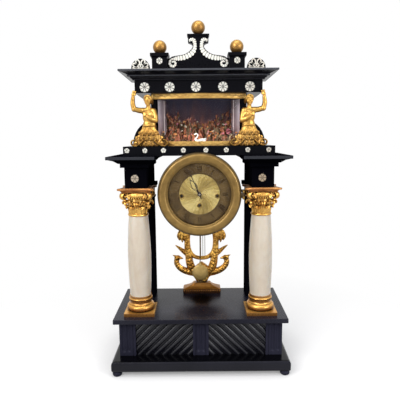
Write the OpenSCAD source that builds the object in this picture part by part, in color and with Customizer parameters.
// Portico clock: ebonised case on four bun feet, two alabaster columns with gilt capitals,
// a drum movement hung under the bridge beam, a glazed attic with a swan, and a crest.
// Millimetres, +X right, +Y back, +Z up; the origin is under the middle of the feet.

/* [Base] */
// How far the board under the columns runs past a column's axis
deck_past = 49.5; // [44:0.5:70]
// Depth of the board under the columns
base_d = 174; // [164:1:220]
// Thickness of the board under the columns
deck_h = 9; // [6:0.5:16]
// How far that board stands out past the carcass
deck_lip = 10; // [4:0.5:16]
// Height of the carcass between the two boards
carcass_h = 69.5; // [50:0.5:110]
// Wall of the hollow carcass
carcass_wall = 10; // [6:0.5:16]
// Thickness of the bottom board
board_h = 22; // [10:0.5:26]
// Ledge of the bottom board at each side
ledge_side = 13; // [6:0.5:24]
// Ledge of the bottom board in front and behind
ledge_front = 26; // [16:0.5:40]
// Height of the bun feet
foot_h = 8.5; // [8:0.5:26]
// Diameter of the bun feet
foot_d = 19; // [17:0.5:30]
// Distance of a foot's middle from the board's edges
foot_inset = 10; // [9.5:0.5:30]

/* [Base front] */
// How far the pilasters stand out from the carcass
pilaster_t = 7; // [5:0.5:10]
// Width of a corner pilaster with its bead
corner_pilaster_w = 32; // [28:0.5:40]
// Width of the middle pilaster with its beads
middle_pilaster_w = 31; // [30:0.5:44]
// Width of the bead beside each panel
bead_w = 5.5; // [4:0.25:7]
// Width of one flute
flute_w = 8.5; // [6:0.25:9]
// Depth of one flute
flute_depth = 2.6; // [1.5:0.1:4]
// Plain height under each flute
flute_foot = 7; // [5:0.5:14]
// Distance between slanting reeds, measured along the panel
reed_pitch = 16.5; // [12:0.5:24]
// Height of a reed above the carcass
reed_rise = 6; // [4:0.25:6.5]

/* [Columns] */
// Gap between the bezel and a column's axis
col_gap = 39.7; // [36:0.1:56]
// Column axis in depth, in front of the middle
col_y = -43; // [-48:0.5:-38]
// Side of the square plinth under a column
plinth_w = 60; // [56:0.5:66]
// Height of that plinth
plinth_h = 7; // [4:0.5:12]
// Height of the turned base mouldings
torus_h = 30; // [24:0.5:40]
// Radius of the lower torus
torus_r = 27.5; // [26:0.5:31]
// Radius of the shaft at its foot
shaft_r = 20.5; // [19:0.25:22]
// Radius of the shaft at its neck
neck_r = 18.75; // [17:0.25:21]
// Swelling of the shaft over a straight taper
entasis = 3.2; // [0:0.1:4]
// Height of the alabaster shaft
shaft_h = 161; // [120:1:220]
// Height of the capital
capital_h = 56; // [48:0.5:70]
// Half of the abacus across its horns
abacus_r = 33.5; // [32:0.25:36]

/* [Portico] */
// Width of the rear posts and of the impost blocks
post_w = 42; // [36:0.5:48]
// Distance of a rear post's front face behind the middle
post_y = 32; // [20:0.5:36]
// Height of an impost block
impost_h = 39; // [30:0.5:55]
// Front face of the impost blocks
impost_front = -65; // [-70:0.5:-60]
// Height of the impost cornice
impost_cornice_h = 21; // [16:0.5:30]
// Overhang of the impost cornice in front, behind and outside
impost_lip = 30; // [20:0.5:34]
// Overhang of the impost cornice towards the drum
impost_lip_in = 18; // [10:0.5:18]
// How far the bridge beam runs past a column's axis
beam_past = 23.5; // [20:0.5:30]
// Front face of the bridge beam
beam_front = -57; // [-60:0.5:-55]
// Rear face of the bridge beam
beam_back = 64; // [58:0.5:70]
// Height of the bridge beam
beam_h = 18; // [14:0.5:26]

/* [Attic] */
// Height of the glazed attic
attic_h = 99; // [80:1:130]
// How far the glazed case stays inside a column's axis
case_in = 28.5; // [20:0.5:36]
// Front edge of the glazed case's sides
case_front = -30; // [-34:0.5:-26]
// Wall of the glazed case
case_wall = 6; // [4:0.5:9]
// Width of the black stile at each side of the glass
stile_w = 13; // [10:0.5:16]
// Bulge of the bowed glass
glass_bow = 14; // [6:0.5:16]
// Thickness of the bowed glass
glass_t = 2; // [1.5:0.25:3]
// Height of the gilt rail under the glass
rail_low_h = 9; // [6:0.5:14]
// Height of the gilt rail over the glass
rail_top_h = 10; // [6:0.5:14]
// How far the frieze runs past a column's axis
frieze_past = -1; // [-6:0.5:12]
// Front face of the frieze
frieze_front = -50; // [-54:0.5:-49]
// Height of the frieze
frieze_h = 23; // [16:0.5:34]
// Overhang of the attic cornice
attic_lip = 26; // [16:0.5:30]
// Height of the attic cornice
attic_cornice_h = 17; // [12:0.5:26]
// How far a gilt figure's middle stands outside the glazed case
figure_out = 2.5; // [0:0.5:12]
// How far a gilt figure's middle stands in front of the glazed case
figure_before = 19; // [18.75:0.25:19.75]

/* [Crest] */
// Middle plane of the crest
crest_y = -30; // [-40:0.5:0]
// Thickness of the crest panel
crest_t = 14; // [8:0.5:20]
// Half width of the crest panel at its foot
crest_x = 58; // [50:0.5:58]
// Height of the crest panel under its head
crest_h = 53.5; // [45:0.5:70]
// Gap between the crest panel and a pedestal
pedestal_gap = 0.25; // [0.1:0.05:6]
// Side of a pedestal
pedestal_w = 28.5; // [22:0.5:28.5]
// Height of a pedestal with its cap
pedestal_h = 33.1; // [28:0.1:50]
// Radius of the gilt balls
ball_r = 12.9; // [9:0.1:15]
// Gap between a pedestal and a half-round antefix
antefix_gap = 5.25; // [3:0.25:14]
// Radius of an antefix
antefix_r = 17.5; // [14:0.5:19]

/* [Drum] */
// Outer radius of the hinged bezel
bezel_r = 80.8; // [72:0.1:90]
// How far the bezel reaches up in front of the bridge beam
bezel_up = 6.4; // [5:0.1:7.5]
// How far the bezel stands out past the drum
bezel_lip = 3.6; // [3:0.1:5]
// Wall of the drum
drum_wall = 2; // [1.5:0.25:3]
// Front rim of the drum
drum_front = -52; // [-53:0.25:-51]
// Back rim of the drum
drum_back_y = 44; // [43:0.5:45]
// Thickness of the bezel in depth
bezel_t = 15.6; // [15:0.1:17]
// Width of the bezel's ring
bezel_w = 19.8; // [16:0.1:22]
// Rise of the domed dial glass
dome_h = 8; // [7.5:0.1:9]
// Radius of the hinge pin
hinge_pin_r = 1; // [0.8:0.1:1.2]
// Width of the chapter ring
chapter_w = 21.8; // [16:0.1:24]
// Distance of the minute hand's tip from the bezel
minute_short = 9; // [6:0.5:17]
// How much shorter the hour hand is than the minute hand
hour_short = 16; // [12:0.5:24]

/* [Movement] */
// Gap between the drum and the movement plates
plate_gap = 11; // [9:0.5:13]
// Thickness of the movement plates
plate_t = 2.5; // [2:0.25:3]
// Rear face of the back plate
back_plate_y = 18.5; // [17:0.5:19]
// Sideways distance of the striking arbors
strike_x = 34.7; // [33:0.1:36]
// Drop of the striking arbors under the dial's middle
strike_drop = 3.5; // [2:0.1:5]
// Drop of the going arbor under the dial's middle
going_drop = 22; // [21.5:0.1:23]
// Radius of the winding arbors
arbor_r = 2.2; // [2:0.1:2.4]
// Radial running clearance of arbors, pipes and pins
run_fit = 0.05; // [0.03:0.01:0.09]
// Distance between the dial's middle and the minute wheel
motion_a = 12; // [11.5:0.1:12.5]
// Rise of the anchor's axis over the dial's middle
anchor_rise = 40; // [39:0.5:42]

/* [Pendulum and lyre] */
// Plane in which the pendulum swings
pendulum_y = 33; // [32:0.25:34]
// Radius of the pendulum rod
rod_r = 1; // [0.8:0.1:1.8]
// Radius of the bob
bob_r = 17.5; // [12:0.5:20]
// Height of the bob's middle over the columns' board
bob_rise = 55.5; // [40:0.5:64]
// Middle of the lyre sideways
lyre_x = 3; // [0:0.5:4]
// Middle plane of the lyre
lyre_y = 66; // [60:0.5:68]
// Half width of the lyre's foot
lyre_foot_x = 41; // [36:0.5:46]

/* [Hidden] */
$fn = 48;
// Margin by which a cutting body runs past the face it cuts
PAST = 1;
// Gap left between pieces that only rest beside each other
SEAT = 0.1;
BLACK = "#17161a";
GILT = "#c9993f";
BRASS = "#b99a56";
PEARL = "#ece6dd";
ALABASTER = "#e9d9b8";
GLASS = "#b9ccd6";

// Heights of the seats, from the table upwards
z_board = foot_h;
z_carcass = z_board + board_h;
z_deck = z_carcass + carcass_h + deck_h;
z_shaft = z_deck + plinth_h + torus_h;
z_capital = z_shaft + shaft_h;
z_impost = z_capital + capital_h;
z_beam = z_impost + impost_h + impost_cornice_h;
z_attic = z_beam + beam_h;
z_frieze = z_attic + attic_h;
z_cornice = z_frieze + frieze_h;
z_crest = z_cornice + attic_cornice_h;
z_dial = z_beam + bezel_up - bezel_r;

// Widths that follow the dial, from the drum out to the base
drum_r = bezel_r - bezel_lip;
sight_r = bezel_r - bezel_w;
dial_r = sight_r + 5;
plate_r = drum_r - plate_gap;
chapter_r = sight_r - chapter_w;
minute_len = sight_r - minute_short;
hour_len = minute_len - hour_short;
col_x = bezel_r + col_gap;
beam_x = col_x + beam_past;
case_x = col_x - case_in;
figure_x = case_x + figure_out;
frieze_x = col_x + frieze_past;
base_w = 2 * (col_x + deck_past);
pedestal_x = crest_x + pedestal_gap + pedestal_w / 2;
antefix_x = pedestal_x + pedestal_w / 2 + antefix_gap + antefix_r;

// Base widths and depths
carcass_w = base_w - 2 * deck_lip;
carcass_d = base_d - 2 * deck_lip;
board_w = carcass_w + 2 * ledge_side;
board_d = carcass_d + 2 * ledge_front;
carcass_front = -carcass_d / 2 + pilaster_t;
panel_x0 = middle_pilaster_w / 2;
panel_x1 = carcass_w / 2 - corner_pilaster_w;

// Portico places
post_mid = post_y + post_w / 2;
impost_back = post_y + post_w + 1;
frieze_back = 60;
case_back = frieze_back - 4;
figure_y = case_front - figure_before;

// Depth places of the dial work, counted towards the viewer from the drum's rim
dial_t = 1.5;
ring_t = 0.8;
dial_front = drum_front - dial_t;
ring_front = dial_front - ring_t;
hour_y = ring_front - 0.7;
minute_y = hour_y - 1.2;
hand_t = 0.6;
bezel_y = drum_front - 0.4;
front_plate_y = drum_front + 14;
hinge_x = bezel_r + 3.4;
hinge_y = bezel_y - 9.6;
knuckle_r = hinge_pin_r + 1.6;
knuckle_z = 3.5;
lug_h = 4;
hole_r = arbor_r + 1.2;
going_z = z_dial - going_drop;
strike_z = z_dial - strike_drop;
// Teeth of the motion work: three to one, then four to one
cannon_z = 12;
minute_z = 36;
minute_pinion_z = 10;
hour_z = 40;
cannon_m = 2 * motion_a / (cannon_z + minute_z);
hour_m = 2 * motion_a / (minute_pinion_z + hour_z);
arbor0_r = 1.1;
cannon_r = 1.8;
pipe_r = 2.6;
stud_r = 1.2;
anchor_z = z_dial + anchor_rise;
escape_r = 11;
escape_z = anchor_z - 15.8;
minute_deg = 23.5;
hour_deg = 32;
glass_r = (case_x * case_x * 0.79 + glass_bow * glass_bow) / (2 * glass_bow);
bob_z = z_deck + bob_rise;
pearl_t = 0.6;
slot_x = 14;
pond_h = 5;
screw_r = 2;
screw_head = 3;
antefix_t = 8;
antefix_foot = 7.5;
head_x = 0.33 * crest_x;
head_h = 11;
head_cap = 3.5;
pivot_r = 0.9;
leaves_z = 8;
great_z = 60;
great_m = 2 * going_drop / (great_z + leaves_z);
hang_r = 1.2;
escape_y = -7;
yoke_rise = 132;
lyre_foot_h = 24;
cross_rise = 72;
cross_h = 7;
// The third wheel stands where its two mesh distances meet
third_wheel_a = 19.2;
third_pinion_a = 15;
third_up = (third_wheel_a * third_wheel_a - third_pinion_a * third_pinion_a
    + (escape_z - z_dial) * (escape_z - z_dial)) / (2 * (escape_z - z_dial));
third = [sqrt(third_wheel_a * third_wheel_a - third_up * third_up), third_up];

// Curve through hand-chosen points, n steps between neighbours
function curve_at(a, b, c, d, t) =
    0.5 * (2 * b + (c - a) * t + (2 * a - 5 * b + 4 * c - d) * t * t + (3 * b - a - 3 * c + d) * t * t * t);
function curve(p, n) = concat(
    [for (i = [0:len(p) - 2]) for (k = [0:n - 1])
        curve_at(p[max(i - 1, 0)], p[i], p[i + 1], p[min(i + 2, len(p) - 1)], k / n)],
    [p[len(p) - 1]]);
function side_of(p, i) =
    let (d = p[min(i + 1, len(p) - 1)] - p[max(i - 1, 0)]) [-d[1], d[0]] / norm(d);
function mix(values, t) =
    let (s = t * (len(values) - 1), i = min(floor(s), len(values) - 2))
    values[i] + (values[i + 1] - values[i]) * (s - i);
// Outline of a band of changing width along a path
function band(p, widths) =
    let (last = len(p) - 1)
    concat([for (i = [0:last]) p[i] + side_of(p, i) * mix(widths, i / last) / 2],
        [for (i = [last:-1:0]) p[i] - side_of(p, i) * mix(widths, i / last) / 2]);
function spiral(mid, r0, r1, a0, a1, n) =
    [for (k = [0:n]) let (a = a0 + (a1 - a0) * k / n, r = r0 + (r1 - r0) * k / n)
        mid + r * [cos(a), sin(a)]];

// A limb of round section along a path in the XZ plane, thinner in depth by flat
module limb(path, radii, sides = 8, flat = 1) {
    last = len(path) - 1;
    points = [for (i = [0:last]) for (k = [0:sides - 1])
        let (r = mix(radii, i / last), n = side_of(path, i), a = 360 * k / sides)
        [path[i][0] + r * cos(a) * n[0], r * sin(a) * flat, path[i][1] + r * cos(a) * n[1]]];
    walls = [for (i = [0:last - 1]) for (k = [0:sides - 1]) let (m = (k + 1) % sides)
        each [[i * sides + k, i * sides + m, (i + 1) * sides + m],
            [i * sides + k, (i + 1) * sides + m, (i + 1) * sides + k]]];
    cap0 = [for (k = [1:sides - 2]) [0, k + 1, k]];
    cap1 = [for (k = [1:sides - 2]) [last * sides, last * sides + k, last * sides + k + 1]];
    polyhedron(points, concat(walls, cap0, cap1));
}

module both_sides() {
    children();
    mirror([1, 0, 0]) children();
}

// Modelled on the right, mirrored for the left
module on_side(side) {
    if (side < 0) mirror([1, 0, 0]) children();
    else children();
}

// Turned about an axis through the dial's middle, profile in radius and distance to the viewer
module turned(z = z_dial, x = 0) {
    translate([x, 0, z]) rotate([90, 0, 0]) rotate_extrude($fn = 96) children();
}

// Round bar along the depth, from y0 back to y1
module rod_y(r, y0, y1, x = 0, z = z_dial) {
    translate([x, y1, z]) rotate([90, 0, 0]) cylinder(r = r, h = y1 - y0);
}

// A flat outline in XZ, from y0 back to y1
module plate_y(y0, y1) {
    translate([0, y1, 0]) rotate([90, 0, 0]) linear_extrude(y1 - y0) children();
}

module span_profile(lo, hi, pts, k) {
    polygon(concat([for (p = pts) [hi + k[1] * p[0], p[1]]],
        [for (i = [len(pts) - 1:-1:0]) [lo - k[0] * pts[i][0], pts[i][1]]]));
}

// A block whose four sides carry one moulding, mitred at the corners;
// pts are [overhang, height] from the bottom upwards
module mitred(x, y, pts, kx = [1, 1], ky = [1, 1]) {
    reach = 2 * (x[1] - x[0] + y[1] - y[0]);
    intersection() {
        rotate([90, 0, 0]) linear_extrude(reach, center = true) span_profile(x[0], x[1], pts, kx);
        rotate([90, 0, 90]) linear_extrude(reach, center = true) span_profile(y[0], y[1], pts, ky);
    }
}

// A board with rounded long edges
function round_edge(r, h) = concat([[-r, 0]],
    [for (a = [-60:30:0]) [r * (cos(a) - 1), r + r * sin(a)]],
    [for (a = [0:30:90]) [r * (cos(a) - 1), h - r + r * sin(a)]]);

// Gear outline with shortened teeth and free flanks
function gear(z, m, turn = 0) = [for (i = [0:z - 1]) let (a = turn + 360 * i / z, u = 360 / z)
    each [for (c = [[-0.30, -1.15], [-0.11, 0.7], [0.11, 0.7], [0.30, -1.15]])
        (z * m / 2 + c[1] * m) * [cos(a + c[0] * u), sin(a + c[0] * u)]]];

module bun_feet() {
    bulge = foot_h / 2 + 1;
    color(BLACK)
    for (x = [-1, 1], y = [-1, 1])
        translate([x * (board_w / 2 - foot_inset), y * (board_d / 2 - foot_inset), 0])
        rotate_extrude() intersection() {
            square([foot_d / 2, foot_h]);
            union() {
                square([foot_d / 2 - bulge, foot_h]);
                translate([foot_d / 2 - bulge, foot_h / 2]) circle(bulge);
            }
        }
}

module bottom_board() {
    edge_r = board_h / 4;
    color(BLACK) translate([0, 0, z_board])
        mitred([-board_w / 2, board_w / 2], [-board_d / 2, board_d / 2], round_edge(edge_r, board_h));
}

module base_carcass() {
    color(BLACK) difference() {
        translate([-carcass_w / 2, carcass_front, z_carcass])
            cube([carcass_w, carcass_d - pilaster_t, carcass_h]);
        translate([-carcass_w / 2 + carcass_wall, carcass_front + carcass_wall, z_carcass - PAST])
            cube([carcass_w - 2 * carcass_wall, carcass_d - pilaster_t - 2 * carcass_wall,
                carcass_h - carcass_wall + PAST]);
    }
}

// Slanting half-round reeds that rise towards the middle pilaster
module reeded_panels() {
    back_t = 2;
    reed_r = reed_rise - back_t + 1.2;
    panel_w = panel_x1 - panel_x0;
    run = panel_w + carcass_h;
    color(BLACK) both_sides() intersection() {
        translate([panel_x0 + SEAT, carcass_front - reed_rise, z_carcass])
            cube([panel_w - 2 * SEAT, reed_rise, carcass_h]);
        union() {
            translate([panel_x0, carcass_front - back_t, z_carcass]) cube([panel_w, back_t, carcass_h]);
            for (u = [reed_pitch / 2:reed_pitch:run])
                translate([panel_x0 + u, carcass_front - back_t + 1.2, z_carcass])
                rotate([0, -45, 0]) translate([0, 0, -PAST]) cylinder(r = reed_r, h = 2 * run);
        }
    }
}

module pilaster(w, flutes_mid) {
    cut_r = (flute_w * flute_w / 4 + flute_depth * flute_depth) / (2 * flute_depth);
    flute_y = carcass_front - pilaster_t - cut_r + flute_depth;
    foot_z = z_carcass + flute_foot + flute_w / 2;
    head_z = z_carcass + carcass_h - flute_foot / 2 - flute_w / 2;
    difference() {
        translate([-w / 2, carcass_front - pilaster_t, z_carcass]) cube([w, pilaster_t, carcass_h]);
        for (s = [-0.5, 0.5]) translate([flutes_mid + s * (flute_w + 1.5), flute_y, 0]) {
            translate([0, 0, foot_z]) cylinder(r = cut_r, h = head_z - foot_z);
            translate([0, 0, foot_z]) sphere(cut_r);
            translate([0, 0, head_z]) sphere(cut_r);
        }
    }
}

module bead_groove(x) {
    groove = 1;
    translate([x - groove / 2, carcass_front - pilaster_t - PAST, z_carcass - PAST])
        cube([groove, groove + PAST, carcass_h + 2 * PAST]);
}

module fluted_pilasters() {
    corner_mid = carcass_w / 2 - corner_pilaster_w / 2;
    color(BLACK) {
        difference() {
            pilaster(middle_pilaster_w, 0);
            bead_groove(panel_x0 - bead_w);
            bead_groove(bead_w - panel_x0);
        }
        both_sides() difference() {
            translate([corner_mid, 0, 0]) pilaster(corner_pilaster_w, bead_w / 2);
            bead_groove(panel_x1 + bead_w);
        }
    }
}

module top_board() {
    edge = 0.8;
    color(BLACK) translate([0, 0, z_deck - deck_h])
        mitred([-base_w / 2, base_w / 2], [-base_d / 2, base_d / 2], round_edge(edge, deck_h));
}

// Square plinth, big torus, hollow scotia, small torus and fillet
module column_base(side) {
    low = 0.43 * torus_h;
    hollow = 0.27 * torus_h;
    high = 0.17 * torus_h;
    ring_r = torus_r - 4;
    color(GILT) translate([side * col_x, col_y, z_deck]) {
        translate([-plinth_w / 2, -plinth_w / 2, 0]) cube([plinth_w, plinth_w, plinth_h]);
        translate([0, 0, plinth_h]) rotate_extrude() {
            square([torus_r - low / 2, low]);
            translate([torus_r - low / 2, low / 2]) circle(low / 2);
            difference() {
                translate([0, low]) square([ring_r, hollow]);
                translate([ring_r + 2, low + hollow / 2]) circle(hollow / 2);
            }
            translate([0, low + hollow]) square([ring_r - high / 2, high]);
            translate([ring_r - high / 2, low + hollow + high / 2]) circle(high / 2);
            translate([0, low + hollow + high]) square([shaft_r + 1.5, torus_h - low - hollow - high]);
        }
    }
}

// Shaft with entasis, widest a little below its half height
module column_shaft(side) {
    rings = 14;
    color(ALABASTER) translate([side * col_x, col_y, z_shaft])
        rotate_extrude() polygon(concat([[0, 0]],
            [for (i = [0:rings]) let (t = i / rings)
                [shaft_r + (neck_r - shaft_r) * t + entasis * sin(180 * t), shaft_h * t]],
            [[0, shaft_h]]));
}

// Acanthus leaf: a curling band cut to a lobed outline; x away from the bell, z up
module acanthus(h, reach, w) {
    side_path = curve([[0.6, 0], [1, 0.4 * h], [2.2, 0.72 * h], [0.55 * reach, 0.97 * h],
        [0.92 * reach, 0.95 * h], [reach, 0.76 * h]], 3);
    half = [[0.38, 0], [0.5, 0.2], [0.42, 0.3], [0.5, 0.45], [0.4, 0.56], [0.44, 0.72], [0.28, 0.9], [0.12, 1.05]];
    intersection() {
        translate([0, w / 2, 0]) rotate([90, 0, 0]) linear_extrude(w) polygon(band(side_path, [2.6, 2.6, 2, 1.6]));
        rotate([90, 0, 90]) linear_extrude(2 * reach, center = true) polygon(concat(
            [for (p = half) [p[0] * w, p[1] * h]],
            [for (i = [len(half) - 1:-1:0]) [-half[i][0] * w, half[i][1] * h]]));
    }
}

module abacus(k, h) {
    r = abacus_r * k;
    dip = 0.2 * r;
    horn = 0.08 * r;
    chord = r - horn;
    cut_r = (chord * chord + dip * dip) / (2 * dip);
    linear_extrude(h) difference() {
        square(2 * r, center = true);
        for (a = [0:90:270]) rotate(a) {
            translate([r - dip + cut_r, 0]) circle(cut_r, $fn = 128);
            translate([r, r]) rotate(45) square(2.2 * horn, center = true);
        }
    }
}

// Corinthian capital: astragal, bell, two rows of leaves, corner volutes and horned abacus
module capital(side) {
    astragal = 4;
    abacus_h = 0.16 * capital_h;
    bell_h = capital_h - abacus_h;
    leaf_h = 0.4 * capital_h;
    leaves = 8;
    volute_r = 5.4;
    volute_t = 6;
    volute_x = abacus_r * sqrt(2) - volute_r - 2.6;
    volute_z = bell_h - volute_r - 0.6;
    stem = curve([[neck_r - 2, 0.42 * bell_h], [neck_r + 3, 0.62 * bell_h], [neck_r + 9, 0.8 * bell_h],
        [volute_x - 1, volute_z + volute_r - 1.6]], 3);
    color(GILT) translate([side * col_x, col_y, z_capital]) {
        rotate_extrude() {
            square([neck_r + 0.5, astragal]);
            translate([neck_r + 0.5, astragal / 2]) circle(astragal / 2);
            polygon([[0, astragal], [neck_r - 0.5, astragal], [neck_r, 0.5 * bell_h],
                [neck_r + 2, 0.75 * bell_h], [neck_r + 5, 0.92 * bell_h], [neck_r + 7, bell_h], [0, bell_h]]);
        }
        for (i = [0:leaves - 1]) {
            rotate(360 * (i + 0.5) / leaves) translate([neck_r - 0.8, 0, astragal - 0.5])
                acanthus(leaf_h, 11, 13.5);
            rotate(360 * i / leaves) translate([neck_r - 0.4, 0, 0.3 * capital_h])
                acanthus(0.9 * leaf_h, 12.5, 12.5);
        }
        for (a = [45:90:315]) rotate(a) {
            translate([0, 3, 0]) rotate([90, 0, 0]) linear_extrude(6) polygon(band(stem, [6, 4, 3.2]));
            translate([volute_x, volute_t / 2, volute_z]) rotate([90, 0, 0])
                cylinder(r = volute_r, h = volute_t, $fn = 32);
        }
        for (a = [0:90:270]) rotate(a)
            translate([abacus_r * 0.78, 0, bell_h + abacus_h / 2]) sphere(abacus_h * 0.48, $fn = 24);
        translate([0, 0, bell_h]) abacus(0.93, abacus_h / 2);
        translate([0, 0, bell_h + abacus_h / 2]) abacus(1, abacus_h / 2);
    }
}

// Square post behind a column, with a plain moulded head
module rear_post(side) {
    head = 34;
    rise = z_impost - z_deck;
    half = post_w / 2;
    color(BLACK) translate([side * col_x, post_mid, z_deck])
        mitred([-half, half], [-half, half], [[0, 0], [0, rise - head],
            [2, rise - head], [2, rise - head + 4], [0, rise - head + 4], [0, rise - 14],
            [6, rise - 8], [6, rise]]);
}

// Block over a column and its post, with its stepped and hollowed cornice
module impost(side) {
    step = 7;
    z1 = impost_h;
    z2 = impost_h + 0.36 * impost_cornice_h;
    z3 = impost_h + 0.72 * impost_cornice_h;
    top = impost_h + impost_cornice_h;
    color(BLACK) on_side(side) translate([0, 0, z_impost])
        mitred([col_x - post_w / 2, col_x + post_w / 2], [impost_front, impost_back],
            [[0, 0], [0, z1], [step, z1], [step, z2], [step + 3, z2], [impost_lip / 2 + 3, z3 - 2.4],
            [impost_lip - 3, z3], [impost_lip, z3], [impost_lip, top]],
            [impost_lip_in / impost_lip, 1], [0.77, 0.4]);
}

// Beam across both imposts, hollowed below to take the drum and its bezel
module bridge_beam() {
    color(BLACK) difference() {
        translate([-beam_x, beam_front, z_beam]) cube([2 * beam_x, beam_back - beam_front, beam_h]);
        rod_y(drum_r, drum_front - SEAT, beam_back + PAST);
        rod_y(bezel_r + 0.8, beam_front - PAST, drum_front);
        at_drum_screws() translate([0, 0, z_beam]) cylinder(r = screw_r, h = beam_h + PAST);
        at_drum_screws() translate([0, 0, z_attic - screw_head]) cylinder(r = 2 * screw_r, h = screw_head + PAST);
    }
}

module at_drum_screws() {
    for (y = [drum_front + 24, drum_back_y - 24]) translate([0, y, 0]) children();
}

// Two screws that draw the drum up into the beam's hollow
module drum_screws() {
    tip = z_dial + drum_r - drum_wall - 2;
    color("silver") at_drum_screws() {
        translate([0, 0, tip]) cylinder(r = screw_r, h = z_attic - screw_head - tip);
        translate([0, 0, z_attic - screw_head]) cylinder(r = 2 * screw_r, h = screw_head);
    }
}

// Flower of five round petals about a bead
module rosette(d) {
    circle(0.2 * d);
    for (a = [90:72:378]) rotate(a) translate([0.31 * d, 0]) circle(0.19 * d, $fn = 24);
}

// Scroll along the crest's hollow edge, coiled at its foot and curled at its head
module pearl_scroll() {
    coil = [0.82 * crest_x, 0.31 * crest_h];
    stem = curve(concat([for (p = [[0.21, 1.0], [0.215, 1.1], [0.12, 1.14], [0.05, 1.03], [0.05, 0.87], [0.1, 0.72],
        [0.24, 0.56], [0.46, 0.47], [0.66, 0.47]]) [p[0] * crest_x, p[1] * crest_h]], [coil + [-1, 8.2]]), 3);
    polygon(band(stem, [2.4, 4, 5.4, 5, 4.6, 4.8, 5.4, 5.6, 4.6, 3.4]));
    polygon(band(spiral(coil, 8.2, 3.2, 97, -240, 20), [3.4, 3, 2]));
}

// Fan of seven lobes
module palmette(r) {
    for (a = [-75:25:75]) rotate(a) translate([0, 0.52 * r]) circle(0.11 * r, $fn = 20);
    for (a = [-75:25:75]) rotate(a) polygon([[-0.03 * r, 0.15 * r], [0.03 * r, 0.15 * r],
        [0.08 * r, 0.5 * r], [-0.08 * r, 0.5 * r]]);
    circle(0.2 * r, $fn = 20);
}

// Mother-of-pearl let onto the black faces
module pearl_inlays() {
    frieze_step = 2 * frieze_x / 4.87;
    beam_shift = -3.5;
    frieze_shift = -2.3;
    beam_step = 2 * beam_x / 7.4;
    color(PEARL) {
        for (i = [-2:2]) inlay(frieze_front, i * frieze_step + frieze_shift, z_frieze + 0.46 * frieze_h)
            rosette(0.8 * frieze_h);
        for (i = [-3.5:3.5]) inlay(beam_front, i * beam_step + beam_shift, z_beam + 0.58 * beam_h)
            rosette(0.53 * beam_h);
        for (s = [-1, 1]) {
            inlay(impost_front, s * col_x, z_impost + 0.46 * impost_h) rosette(0.4 * impost_h);
            inlay(crest_y - pedestal_w / 2, s * pedestal_x, z_crest + 0.57 * pedestal_h) rosette(0.42 * pedestal_w);
            inlay(crest_y - antefix_t / 2, s * antefix_x, z_crest + antefix_foot) palmette(antefix_r);
        }
        both_sides() inlay(crest_y - crest_t / 2, 0, z_crest) pearl_scroll();
    }
}

module inlay(face_y, x, z) {
    translate([x, 0, z]) plate_y(face_y - pearl_t, face_y) children();
}

// Back, sides and front stiles of the glazed attic, one bent wall open to the front
module vitrine_case() {
    color(BLACK) translate([0, 0, z_attic]) linear_extrude(attic_h) difference() {
        translate([-case_x, case_front]) square([2 * case_x, case_back - case_front]);
        translate([-case_x + case_wall, case_front + case_wall])
            square([2 * (case_x - case_wall), case_back - case_front - 2 * case_wall]);
        translate([-case_x + stile_w, case_front - PAST])
            square([2 * (case_x - stile_w), case_wall + 2 * PAST]);
    }
}

// Slice of a ring seen in plan: the bow in front of the case, between two radii
module bow(half, r_out, r_in) {
    mid_y = case_front - glass_bow + glass_r;
    intersection() {
        translate([0, mid_y]) difference() {
            circle(r_out, $fn = 256);
            circle(r_in, $fn = 256);
        }
        translate([-half, case_front - 2 * glass_bow]) square([2 * half, 2 * glass_bow]);
    }
}

module vitrine_glass() {
    color(GLASS, 0.4) translate([0, 0, z_attic + rail_low_h])
        linear_extrude(attic_h - rail_low_h - rail_top_h)
        bow(case_x - case_wall, glass_r, glass_r - glass_t);
}

module vitrine_rails() {
    rail_t = 4;
    color(GILT) {
        translate([0, 0, z_attic]) linear_extrude(rail_low_h) bow(case_x - 2, glass_r + rail_t, glass_r - glass_t);
        translate([0, 0, z_frieze - rail_top_h]) linear_extrude(rail_top_h)
            bow(case_x - 2, glass_r + rail_t, glass_r - glass_t);
    }
}

// Pond with grassy banks and rising ground behind, its front edge bowed like the glass
module diorama_ground() {
    inner = case_x - stile_w - SEAT;
    back = case_back - case_wall - SEAT;
    front = case_front - glass_bow;
    bank_r = 16;
    color("#5b4a2c") intersection() {
        translate([0, 0, z_attic]) linear_extrude(attic_h - rail_top_h) intersection() {
            translate([-inner, front]) square([2 * inner, back - front]);
            translate([0, front + glass_r]) circle(glass_r - glass_t - SEAT, $fn = 256);
        }
        union() {
            translate([-inner, front, z_attic]) cube([2 * inner, back - front, pond_h]);
            for (s = [-1, 1]) {
                translate([s * 52, 0, z_attic + pond_h - 4]) sphere(bank_r);
                translate([s * 66, 20, z_attic + pond_h]) sphere(bank_r + 8);
                translate([s * 28, 30, z_attic + pond_h]) sphere(bank_r + 6);
            }
            translate([0, 38, z_attic + pond_h]) sphere(bank_r + 10);
        }
    }
}

// Swan on the pond, facing left
module swan() {
    k = 0.68;
    water = z_attic + pond_h;
    body = k * curve([[15, 11], [9, 7.5], [1, 6], [-7, 7], [-11, 10]], 3);
    neck = k * curve([[-6, 8], [-13, 13], [-13, 20], [-9, 25], [-12, 30], [-19, 28]], 3);
    color("white") translate([2, case_front + 4, water]) intersection() {
        union() {
            limb(body, k * [1, 5.5, 7.6, 7, 3.4], 10);
            limb(neck, k * [4.2, 3, 2.4, 2.2, 2.8, 1]);
        }
        translate([-25, -15, 0]) cube([50, 30, 50]);
    }
}

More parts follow.
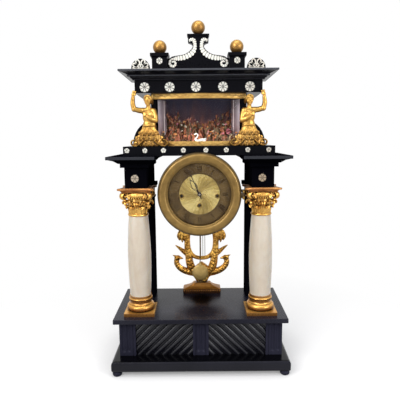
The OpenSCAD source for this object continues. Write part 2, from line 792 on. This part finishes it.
// Gilt half-figure rising from a leaf skirt; the outer hand carries the frieze
module caryatid(side) {
    skirt_h = 0.38 * attic_h;
    skirt_x = 37.5;
    skirt_t = 14;
    scroll_r = 7;
    waist = 7.6;
    top = attic_h - 2;
    chest = 0.64 * attic_h;
    shoulder = 0.72 * attic_h;
    flare = curve([[skirt_x - scroll_r, 2], [20, 8], [12, 0.5 * skirt_h], [waist, skirt_h]], 4);
    torso = [[0, skirt_h - 3], [0, skirt_h + 5], [0, chest], [0, shoulder - 2], [0, shoulder + 2],
        [0, shoulder + 4.5], [0, top - 22]];
    head = [for (t = [0:0.125:1]) [0, top - 24 + 24 * t]];
    raised = curve([[7, shoulder - 1], [18, shoulder - 2], [29, 0.69 * attic_h], [29.5, 0.82 * attic_h],
        [27, attic_h - 2]], 3);
    folded = curve([[-7, shoulder - 1], [-13, chest], [-12, chest - 11], [-2, chest - 5], [5, chest]], 3);
    color(GILT) on_side(side) translate([figure_x, figure_y, z_attic]) {
        plate_y(-skirt_t / 2, skirt_t / 2)
            polygon(concat([[-skirt_x + scroll_r, 0], [skirt_x - scroll_r, 0]], flare,
                [for (i = [len(flare) - 1:-1:0]) [-flare[i][0], flare[i][1]]]));
        for (s = [-1, 1]) rod_y(scroll_r, -skirt_t / 2, skirt_t / 2, s * (skirt_x - scroll_r), scroll_r);
        limb(torso, [waist, waist + 0.6, 10.4, 10, 6, 3.6, 3.6], 12, 0.85);
        limb(head, [for (t = [0:0.125:1]) 2 + 6.6 * pow(sin(20 + 152 * t), 0.8)], 12, 1.1);
        limb(raised, [4, 3.6, 3, 2.6, 2.4]);
        translate([0, -6.5, 0]) limb(folded, [4, 3.6, 3.2, 2.8, 2.4]);
    }
}

// Black quarter-round brackets between the case and the figures' backs
module side_consoles() {
    reach = 37;
    rise = 48;
    steps = 8;
    color(BLACK) both_sides() translate([case_x, 0, z_attic]) plate_y(case_front + 1, case_front + 13)
        polygon(concat([[0, 0]], [for (i = [0:steps]) let (a = 90 * i / steps) [reach * cos(a), rise * sin(a)]]));
}

module attic_frieze() {
    color(BLACK) translate([-frieze_x, frieze_front, z_frieze])
        cube([2 * frieze_x, frieze_back - frieze_front, frieze_h]);
}

module attic_cornice() {
    k = attic_lip;
    h = attic_cornice_h;
    color(BLACK) translate([0, 0, z_cornice]) mitred([-frieze_x, frieze_x], [frieze_front, frieze_back],
        [[0, 0], [0.14 * k, 0], [0.14 * k, 0.12 * h], [0.24 * k, 0.2 * h], [0.3 * k, 0.31 * h],
        [0.42 * k, 0.33 * h], [0.46 * k, 0.41 * h], [0.43 * k, 0.5 * h], [0.5 * k, 0.57 * h],
        [0.64 * k, 0.66 * h], [0.82 * k, 0.76 * h], [0.95 * k, 0.8 * h], [k, 0.8 * h], [k, h]]);
}

// Crest: hollow-sided panel between the pedestals that rises to a neck and a capped head
module crest_panel() {
    side = [[1, 0.45], [0.93, 0.46], [0.84, 0.52], [0.68, 0.55], [0.46, 0.59], [0.27, 0.71], [0.178, 0.86],
        [0.215, 0.95], [0.33, 1]];
    half = concat([[crest_x, 0]], curve([for (p = side) [p[0] * crest_x, p[1] * crest_h]], 3),
        [[head_x, crest_h + head_h]]);
    color(BLACK) {
        translate([0, 0, z_crest]) plate_y(crest_y - crest_t / 2, crest_y + crest_t / 2)
            polygon(concat(half, [for (i = [len(half) - 1:-1:0]) [-half[i][0], half[i][1]]]));
        translate([-head_x - 1.5, crest_y - crest_t / 2 - 2, z_crest + crest_h + head_h])
            cube([2 * head_x + 3, crest_t + 4, head_cap]);
    }
}

module crest_pedestal(side) {
    cap = 6;
    half = pedestal_w / 2;
    top = pedestal_h;
    color(BLACK) translate([side * pedestal_x, crest_y, z_crest])
        mitred([-half, half], [-half, half], [[0, 0], [0, top - cap - 2], [1.4, top - cap],
            [3, top - cap], [3, top]]);
}

// Gilt balls, flattened where they sit
module ball(seat_z) {
    sink = 0.03 * ball_r;
    translate([0, crest_y, seat_z]) intersection() {
        translate([0, 0, ball_r - sink]) sphere(ball_r);
        translate([-ball_r, -ball_r, 0]) cube(2 * ball_r);
    }
}

module ball_finials() {
    color(GILT) {
        ball(z_crest + crest_h + head_h + head_cap);
        for (s = [-1, 1]) translate([s * pedestal_x, 0, 0]) ball(z_crest + pedestal_h);
    }
}

// Half-round ornaments at the cornice's ends
module antefixes() {
    color(BLACK) for (s = [-1, 1]) translate([s * antefix_x, 0, z_crest])
        plate_y(crest_y - antefix_t / 2, crest_y + antefix_t / 2) {
            translate([-antefix_r, 0]) square([2 * antefix_r, antefix_foot]);
            intersection() {
                translate([0, antefix_foot]) circle(antefix_r);
                translate([-antefix_r, antefix_foot]) square(2 * antefix_r);
            }
        }
}

// Drum band with its dial lip, plate flange, pendulum slot and hinge lugs
module drum_shell() {
    inner = drum_r - drum_wall;
    lip = dial_r - 2;
    color(BRASS) difference() {
        union() {
            turned() {
                translate([inner, -drum_back_y]) square([drum_wall, drum_back_y - drum_front]);
                translate([lip, -drum_front - 2]) square([drum_r - lip, 2]);
                translate([plate_r - 2, -front_plate_y]) square([drum_r - plate_r + 2, 2]);
            }
            for (z = [knuckle_z + 0.3, -knuckle_z - 0.3 - lug_h]) translate([0, 0, z_dial + z]) hinge_lug();
        }
        translate([-slot_x, pendulum_y - 5, z_dial - drum_r - PAST]) cube([2 * slot_x, 10, drum_r / 2]);
        translate([hinge_x, hinge_y, z_dial - 2 * lug_h]) cylinder(r = hinge_pin_r, h = 4 * lug_h);
        at_drum_screws() translate([0, 0, z_dial]) cylinder(r = screw_r, h = drum_r + PAST);
    }
}

module hinge_lug() {
    arm_x = bezel_r + 0.8;
    translate([hinge_x, hinge_y, 0]) cylinder(r = knuckle_r, h = lug_h);
    translate([arm_x, hinge_y, 0]) cube([hinge_x + knuckle_r - arm_x, drum_front + 10 - hinge_y, lug_h]);
    translate([drum_r - 4, drum_front + 3, 0]) cube([hinge_x + knuckle_r - drum_r + 4, 7, lug_h]);
}

// Lid at the drum's back, rebated into the band
module drum_back() {
    inner = drum_r - drum_wall - SEAT;
    rebate = 4;
    color(BRASS) turned() {
        translate([0, -drum_back_y - 1.5]) square([drum_r, 1.5]);
        translate([inner - 3, -drum_back_y]) square([3, rebate]);
    }
}

// Hinged bezel: outer rim, stepped ring, hollowed inner slope and glass rebate
module bezel() {
    y0 = -bezel_y;
    front = y0 + bezel_t;
    seat = -dial_front + 0.7;
    glass = y0 + 5;
    rim_w = 2.4;
    crown_h = 5.6;
    crown_r = bezel_r - rim_w - crown_h;
    bead_r = sight_r + 2.4;
    color(BRASS) difference() {
        union() {
            turned() polygon(concat([[dial_r + 1.5, y0], [bezel_r, y0], [bezel_r, y0 + 6],
                [bezel_r - 0.8, y0 + 7.4], [bezel_r - rim_w, y0 + 7.8]],
                [for (a = [0:15:90]) [crown_r + crown_h * cos(a), front - crown_h * (1 - sin(a))]],
                [for (a = [15:15:90]) [crown_r - (crown_r - bead_r) * sin(a), front - 3.4 * (1 - cos(a))]],
                [[bead_r, front - 4.2], [sight_r + 1.2, front - 4.4], [sight_r, front - 5.6],
                [sight_r, glass], [sight_r + 2.5, glass],
                [sight_r + 2.5, seat], [dial_r + 1.5, seat]]));
            translate([hinge_x, hinge_y, z_dial - knuckle_z]) cylinder(r = knuckle_r, h = 2 * knuckle_z);
            translate([bezel_r - 2, hinge_y - 2, z_dial - knuckle_z]) cube([hinge_x - bezel_r + 2, 4, 2 * knuckle_z]);
        }
        translate([hinge_x, hinge_y, z_dial - 2 * knuckle_z])
            cylinder(r = hinge_pin_r + run_fit, h = 4 * knuckle_z);
    }
}

// Domed glass with a flat rim behind the bezel's rebate
module bezel_glass() {
    rim_y = -bezel_y + 5 - SEAT;
    rim_t = 1.5;
    edge = sight_r - 0.3;
    steps = 10;
    dome = [for (i = [0:steps]) let (r = edge * i / steps) [r, rim_y + dome_h * (1 - pow(i / steps, 2))]];
    color(GLASS, 0.4) turned() polygon(concat(dome, [[sight_r + 2.4, rim_y], [sight_r + 2.4, rim_y - rim_t]],
        [for (i = [steps:-1:0]) dome[i] - [0, rim_t]]));
}

// Pin through both hinge lugs and the bezel's knuckle, headed at both ends
module hinge_pin() {
    reach = knuckle_z + 0.3 + lug_h;
    color(BRASS) translate([hinge_x, hinge_y, z_dial]) {
        translate([0, 0, -reach]) cylinder(r = hinge_pin_r, h = 2 * reach);
        for (z = [-reach - 1.5, reach]) translate([0, 0, z]) cylinder(r = hinge_pin_r + 0.9, h = 1.5);
    }
}

// Dial plate on four feet, pierced for the hands and the three winding squares
module dial_plate() {
    foot_r = 2;
    ring = plate_r - 6;
    color(BRASS) difference() {
        union() {
            rod_y(dial_r, dial_front, drum_front);
            for (a = [45:90:315])
                rod_y(foot_r, drum_front, front_plate_y, ring * cos(a), z_dial + ring * sin(a));
        }
        rod_y(pipe_r + 1.4, dial_front - PAST, drum_front + PAST);
        at_arbors() rod_y(hole_r, dial_front - PAST, drum_front + PAST, 0, 0);
    }
}

module at_arbors() {
    translate([0, 0, going_z]) children();
    for (s = [-1, 1]) translate([s * strike_x, 0, strike_z]) children();
}

module chapter_ring() {
    color("#8f7b5d") difference() {
        turned() translate([chapter_r, -dial_front]) square([sight_r - chapter_r, ring_t]);
        at_arbors() rod_y(hole_r, ring_front - PAST, dial_front + PAST, 0, 0);
    }
}

// Hands modelled pointing to twelve, then turned to four minutes before eleven
module hand(y, turn, boss, bore) {
    translate([0, 0, z_dial]) rotate([0, -turn, 0]) plate_y(y - hand_t, y) difference() {
        union() {
            circle(boss, $fn = 32);
            children();
        }
        circle(bore, $fn = 32);
    }
}

module hour_hand() {
    heart = hour_len - 8;
    color("#2a2119") hand(hour_y, hour_deg, pipe_r + 1.2, pipe_r) {
        polygon([[-0.9, 0], [0.9, 0], [0.6, heart], [-0.6, heart]]);
        difference() {
            union() {
                for (s = [-1, 1]) translate([s * 1.3, heart]) circle(1.8, $fn = 32);
                polygon([[-2.8, heart + 1.1], [2.8, heart + 1.1], [0.3, hour_len], [-0.3, hour_len]]);
            }
            for (s = [-1, 1]) translate([s * 1.3, heart + 0.2]) circle(0.7, $fn = 24);
        }
    }
}

module minute_hand() {
    heart = minute_len - 13;
    color("#2a2119") hand(minute_y, minute_deg, cannon_r + 1.2, cannon_r) {
        polygon([[-0.6, -8], [0.6, -8], [0.8, 0], [0.5, heart], [0.25, minute_len], [-0.25, minute_len],
            [-0.5, heart], [-0.8, 0]]);
        translate([0, heart]) difference() {
            circle(1.8, $fn = 32);
            circle(1.1, $fn = 32);
        }
        translate([0, -8]) circle(1.4, $fn = 24);
    }
}

// Front plate with its bores and the minute wheel's stud
module front_plate() {
    y1 = front_plate_y + plate_t;
    color(BRASS) {
        difference() {
            rod_y(plate_r + 2, front_plate_y, y1);
            rod_y(arbor0_r + run_fit, front_plate_y - PAST, y1 + PAST);
            at_arbors() rod_y(arbor_r + run_fit, front_plate_y - PAST, y1 + PAST, 0, 0);
            at_pivots() rod_y(pivot_r, front_plate_y - PAST, y1 + PAST, 0, 0);
            rod_y(pivot_r + run_fit, front_plate_y - PAST, y1 + PAST, 0, anchor_z);
        }
        rod_y(stud_r, front_plate_y - 9, front_plate_y, 0, z_dial + motion_a);
    }
}

// Back plate with its four riveted pillars
module back_plate() {
    y0 = back_plate_y - plate_t;
    ring = plate_r - 5;
    pillar_r = 3;
    collar_r = 4.2;
    collar_h = 3;
    color(BRASS) difference() {
        union() {
            rod_y(plate_r, y0, back_plate_y);
            for (a = [48, 132, 232, 308]) translate([ring * cos(a), 0, z_dial + ring * sin(a)]) {
                rod_y(pillar_r, front_plate_y + plate_t, y0, 0, 0);
                rod_y(collar_r, front_plate_y + plate_t, front_plate_y + plate_t + collar_h, 0, 0);
                rod_y(collar_r, y0 - collar_h, y0, 0, 0);
            }
        }
        rod_y(arbor0_r, y0 - PAST, back_plate_y + PAST);
        at_arbors() rod_y(arbor_r + run_fit, y0 - PAST, back_plate_y + PAST, 0, 0);
        at_pivots() rod_y(pivot_r, y0 - PAST, back_plate_y + PAST, 0, 0);
        rod_y(pivot_r + run_fit, y0 - PAST, back_plate_y + PAST, 0, anchor_z);
    }
}

// Places of the third wheel and the escape wheel
module at_pivots() {
    translate([third[0], 0, z_dial + third[1]]) children();
    translate([0, 0, escape_z]) children();
}

// Three spring barrels with toothed great wheels, each great wheel in its own plane
module spring_barrels() {
    barrel_h = 22;
    barrel_r = 16;
    y0 = front_plate_y + plate_t + 2;
    color(BRASS) {
        translate([0, 0, going_z]) barrel(barrel_r, y0, barrel_h, 0);
        translate([-strike_x, 0, strike_z]) barrel(barrel_r, y0, barrel_h, 4);
        translate([strike_x, 0, strike_z]) barrel(barrel_r, y0, barrel_h, 8);
    }
}

module barrel(r, y0, h, wheel_gap) {
    wheel_y = y0 + h + wheel_gap;
    difference() {
        union() {
            rod_y(r, y0, y0 + h, 0, 0);
            rod_y(r - 8, y0 + h, wheel_y + PAST, 0, 0);
            plate_y(wheel_y, wheel_y + 2) polygon(gear(great_z, great_m, 90 + 180 / great_z));
        }
        rod_y(arbor_r + run_fit, y0 - PAST, wheel_y + 2 + PAST, 0, 0);
    }
}

// Winding arbor: round in its bores, squared for the key behind the dial's hole
module winding_arbor(x, z) {
    square_w = 1.35 * arbor_r;
    square_y = front_plate_y - 6;
    color("silver") translate([x, 0, z]) {
        rod_y(arbor_r, square_y, back_plate_y, 0, 0);
        translate([-square_w / 2, dial_front - 0.4, -square_w / 2])
            cube([square_w, square_y - dial_front + 0.4, square_w]);
    }
}

module going_arbor() {
    winding_arbor(0, going_z);
}

module hour_strike_arbor() {
    winding_arbor(-strike_x, strike_z);
}

module quarter_strike_arbor() {
    winding_arbor(strike_x, strike_z);
}

// Cannon pinion: friction-tight on the centre arbor, carries the minute hand
module cannon_pinion() {
    y1 = front_plate_y - 0.4;
    color("silver") difference() {
        union() {
            translate([0, 0, z_dial]) plate_y(y1 - 3, y1) polygon(gear(cannon_z, cannon_m, 90));
            rod_y(cannon_r, minute_y - hand_t, y1 - 3);
        }
        rod_y(arbor0_r + run_fit, minute_y - 5, front_plate_y);
    }
}

module minute_wheel() {
    y1 = front_plate_y - 1;
    color(BRASS) translate([0, 0, z_dial + motion_a]) difference() {
        union() {
            plate_y(y1 - 2, y1) polygon(gear(minute_z, cannon_m, -90 + 180 / minute_z));
            plate_y(y1 - 7, y1 - 2) polygon(gear(minute_pinion_z, hour_m, -90));
        }
        rod_y(stud_r + run_fit, y1 - 9, y1 + PAST, 0, 0);
    }
}

// Hour wheel with the pipe that carries the hour hand over the cannon
module hour_wheel() {
    y1 = front_plate_y - 5;
    color(BRASS) difference() {
        union() {
            translate([0, 0, z_dial]) plate_y(y1 - 2, y1) polygon(gear(hour_z, hour_m, 90 + 180 / hour_z));
            rod_y(pipe_r, hour_y - hand_t, y1);
        }
        rod_y(cannon_r + run_fit, minute_y - 5, front_plate_y);
    }
}

// Centre arbor and wheel, third wheel and escape wheel, each on its arbor
module going_train() {
    y0 = front_plate_y + plate_t;
    y1 = back_plate_y - plate_t;
    centre_z = 56;
    third_z = 48;
    centre_m = 2 * third_wheel_a / (centre_z + leaves_z);
    third_m = 2 * third_pinion_a / (third_z + leaves_z);
    to_third = atan2(third[1], third[0]);
    to_escape = atan2(escape_z - z_dial - third[1], -third[0]);
    color(BRASS) {
        translate([0, 0, z_dial]) {
            rod_y(arbor0_r, minute_y - 1.5, back_plate_y, 0, 0);
            plate_y(y0 + 23, y0 + 28) polygon(gear(leaves_z, great_m, -90));
            plate_y(y1 - 8, y1 - 6.5) polygon(gear(centre_z, centre_m, to_third + 180 / centre_z));
        }
        translate([third[0], 0, z_dial + third[1]]) {
            rod_y(pivot_r, front_plate_y, back_plate_y, 0, 0);
            plate_y(y1 - 9.5, y1 - 5) polygon(gear(leaves_z, centre_m, to_third + 180));
            plate_y(y1 - 14, y1 - 12.5) polygon(gear(third_z, third_m, to_escape + 180 / third_z));
        }
        translate([0, 0, escape_z]) {
            rod_y(pivot_r, front_plate_y, back_plate_y, 0, 0);
            plate_y(y1 - 15.5, y1 - 11) polygon(gear(leaves_z, third_m, to_escape + 180));
            plate_y(escape_y, escape_y + 1.5) polygon(escape_teeth(30));
        }
    }
}

function escape_teeth(n) = [for (i = [0:n - 1]) let (a = 360 * i / n, u = 360 / n)
    each [(escape_r - 2) * [cos(a), sin(a)], escape_r * [cos(a + 0.12 * u), sin(a + 0.12 * u)],
        (escape_r - 1.9) * [cos(a + 0.5 * u), sin(a + 0.5 * u)]]];

// Anchor on its arbor, with the crutch that leads the pendulum rod
module anchor() {
    crutch_y = back_plate_y + 2.5;
    crutch_t = 2;
    fork_z = anchor_rise - 4;
    prong = 1.5;
    gap = rod_r + 0.35;
    arm = curve([[0, 0], [5, -0.8], [9, -3.6], [11.4, -7.4]], 3);
    color("silver") translate([0, 0, anchor_z]) {
        rod_y(pivot_r, front_plate_y, crutch_y + crutch_t, 0, 0);
        rod_y(2.2, escape_y - 1, escape_y + 2.5, 0, 0);
        plate_y(escape_y, escape_y + 1.5) {
            polygon(band(arm, [4.4, 3, 2, 1.6]));
            mirror([1, 0]) polygon(band(arm, [4.4, 3, 2, 1.6]));
        }
        rod_y(2.2, crutch_y, crutch_y + crutch_t, 0, 0);
        translate([-1.5, crutch_y, -fork_z]) cube([3, crutch_t, fork_z]);
        translate([-gap - prong, crutch_y, -fork_z]) cube([2 * (gap + prong), crutch_t, 3]);
        for (s = [0, 1]) mirror([s, 0, 0]) translate([gap, crutch_y, -fork_z])
            cube([prong, pendulum_y + rod_r + 1 - crutch_y, 3]);
    }
}

// Bridge on the back plate with the pin that the pendulum hangs from
module suspension_cock() {
    leg_x = 9;
    leg_w = 4;
    depth = 9;
    color(BRASS) translate([0, 0, anchor_z]) {
        for (s = [-1, 1]) translate([s * leg_x - leg_w / 2, back_plate_y, -5]) cube([leg_w, depth, 10]);
        translate([-leg_x - leg_w / 2, back_plate_y + depth, -5]) cube([2 * leg_x + leg_w, 2, 10]);
        rod_y(hang_r, back_plate_y + depth, pendulum_y + 3, 0, 0);
        rod_y(hang_r + 0.8, pendulum_y + 3, pendulum_y + 4, 0, 0);
    }
}

// Rod with the eye at its top and the rating nut under the bob
module pendulum_rod() {
    eye_r = 3.2;
    eye_t = 2.2;
    nut_r = 4;
    nut_z = bob_z - bob_r - 3.5;
    color(BRASS) difference() {
        union() {
            rod_y(eye_r, pendulum_y - eye_t, pendulum_y + eye_t, 0, anchor_z);
            translate([0, pendulum_y, nut_z - 3]) cylinder(r = rod_r, h = anchor_z - eye_r - nut_z + 4);
            translate([0, pendulum_y, nut_z]) cylinder(r = nut_r, h = 3);
        }
        rod_y(hang_r + run_fit, pendulum_y - 6, pendulum_y + 6, 0, anchor_z);
    }
}

// Lens-shaped bob with a collar at its top
module pendulum_bob() {
    thick = 9;
    color(BRASS) difference() {
        union() {
            translate([0, pendulum_y, bob_z]) rotate([90, 0, 0]) rotate_extrude($fn = 64) polygon([
                [0, -thick / 2], [0.4 * bob_r, -0.46 * thick], [0.8 * bob_r, -0.28 * thick], [bob_r, -0.1 * thick],
                [bob_r, 0.1 * thick], [0.8 * bob_r, 0.28 * thick], [0.4 * bob_r, 0.46 * thick], [0, thick / 2]]);
            translate([0, pendulum_y, bob_z + bob_r - 1]) cylinder(r1 = 3.4, r2 = 2, h = 7);
        }
        translate([0, pendulum_y, bob_z - 2 * bob_r]) cylinder(r = rod_r, h = 5 * bob_r);
    }
}

// Broad slab under a hollow flare
module lyre_base() {
    slab_h = 11;
    half_d = 16;
    rise = lyre_foot_h - slab_h;
    color(GILT) translate([lyre_x, lyre_y, z_deck])
        mitred([-lyre_foot_x, lyre_foot_x], [-half_d, half_d], concat([[0, 0], [0, slab_h]],
            [for (a = [0:15:90]) [-1 - 24 * sin(a), slab_h + rise * (1 - cos(a))]]), [1, 1], [0.36, 0.36]);
}

// Gilt lyre: pointed shield, swan necks, leaf horns and scrolled arms with a cross bar and a yoke
module lyre_frame() {
    grow = 1.045;
    foot = lyre_foot_h / grow;
    shield = grow * curve([[0, foot + 43], [9, foot + 38], [18.7, foot + 30], [17, foot + 12], [9, foot]], 3);
    arm = grow * curve([[9, foot + 14], [20, foot + 34], [25, foot + 62], [23, foot + 92], [26, foot + 116],
        [36, foot + 127], [45, foot + 120], [41, foot + 111]], 3);
    neck = grow * curve([[8, foot + 8], [30, foot + 5], [48, foot + 16], [57, foot + 34], [60, foot + 48],
        [55, foot + 56], [45, foot + 51]], 3);
    horn = grow * curve([[21, foot + 44], [36, foot + 50], [50, foot + 62], [58, foot + 80]], 3);
    color(GILT) translate([lyre_x, lyre_y, z_deck]) {
        plate_y(-6, 6) polygon(concat(shield, [for (i = [len(shield) - 2:-1:1]) [-shield[i][0], shield[i][1]]]));
        for (s = [0, 1]) mirror([s, 0, 0]) {
            limb(arm, [7, 6, 5, 4.6, 4.4, 4, 3.4, 2], 8, 0.9);
            limb(neck, [6, 5.4, 4.6, 3.8, 3.4, 4, 1.2], 8, 0.9);
            limb(horn, [4, 4.4, 3.4, 0.9], 8, 0.8);
        }
        translate([-24, -4, cross_rise]) cube([48, 8, cross_h]);
        translate([-25, -3, yoke_rise]) cube([50, 6, 6]);
    }
}

// Three strings between the cross bar and the yoke
module lyre_strings() {
    foot = cross_rise + cross_h;
    color(BRASS) translate([lyre_x, lyre_y, z_deck + foot])
        for (x = [-6, 0, 6]) translate([x, 0, 0]) cylinder(r = 0.5, h = yoke_rise - foot, $fn = 16);
}

bun_feet();
bottom_board();
base_carcass();
reeded_panels();
fluted_pilasters();
top_board();
column_base(-1);  // column_base_left
column_base(1);  // column_base_right
column_shaft(-1);  // column_shaft_left
column_shaft(1);  // column_shaft_right
capital(-1);  // capital_left
capital(1);  // capital_right
rear_post(-1);  // rear_post_left
rear_post(1);  // rear_post_right
impost(-1);  // impost_left
impost(1);  // impost_right
bridge_beam();
pearl_inlays();
vitrine_case();
vitrine_glass();
vitrine_rails();
diorama_ground();
swan();
caryatid(-1);  // caryatid_left
caryatid(1);  // caryatid_right
side_consoles();
attic_frieze();
attic_cornice();
crest_panel();
crest_pedestal(-1);  // crest_pedestal_left
crest_pedestal(1);  // crest_pedestal_right
ball_finials();
antefixes();
drum_shell();
drum_screws();
drum_back();
bezel();
bezel_glass();
hinge_pin();
dial_plate();
chapter_ring();
hour_hand();
minute_hand();
front_plate();
back_plate();
spring_barrels();
going_arbor();
hour_strike_arbor();
quarter_strike_arbor();
cannon_pinion();
minute_wheel();
hour_wheel();
going_train();
anchor();
suspension_cock();
pendulum_rod();
pendulum_bob();
lyre_frame();
lyre_strings();
lyre_base();
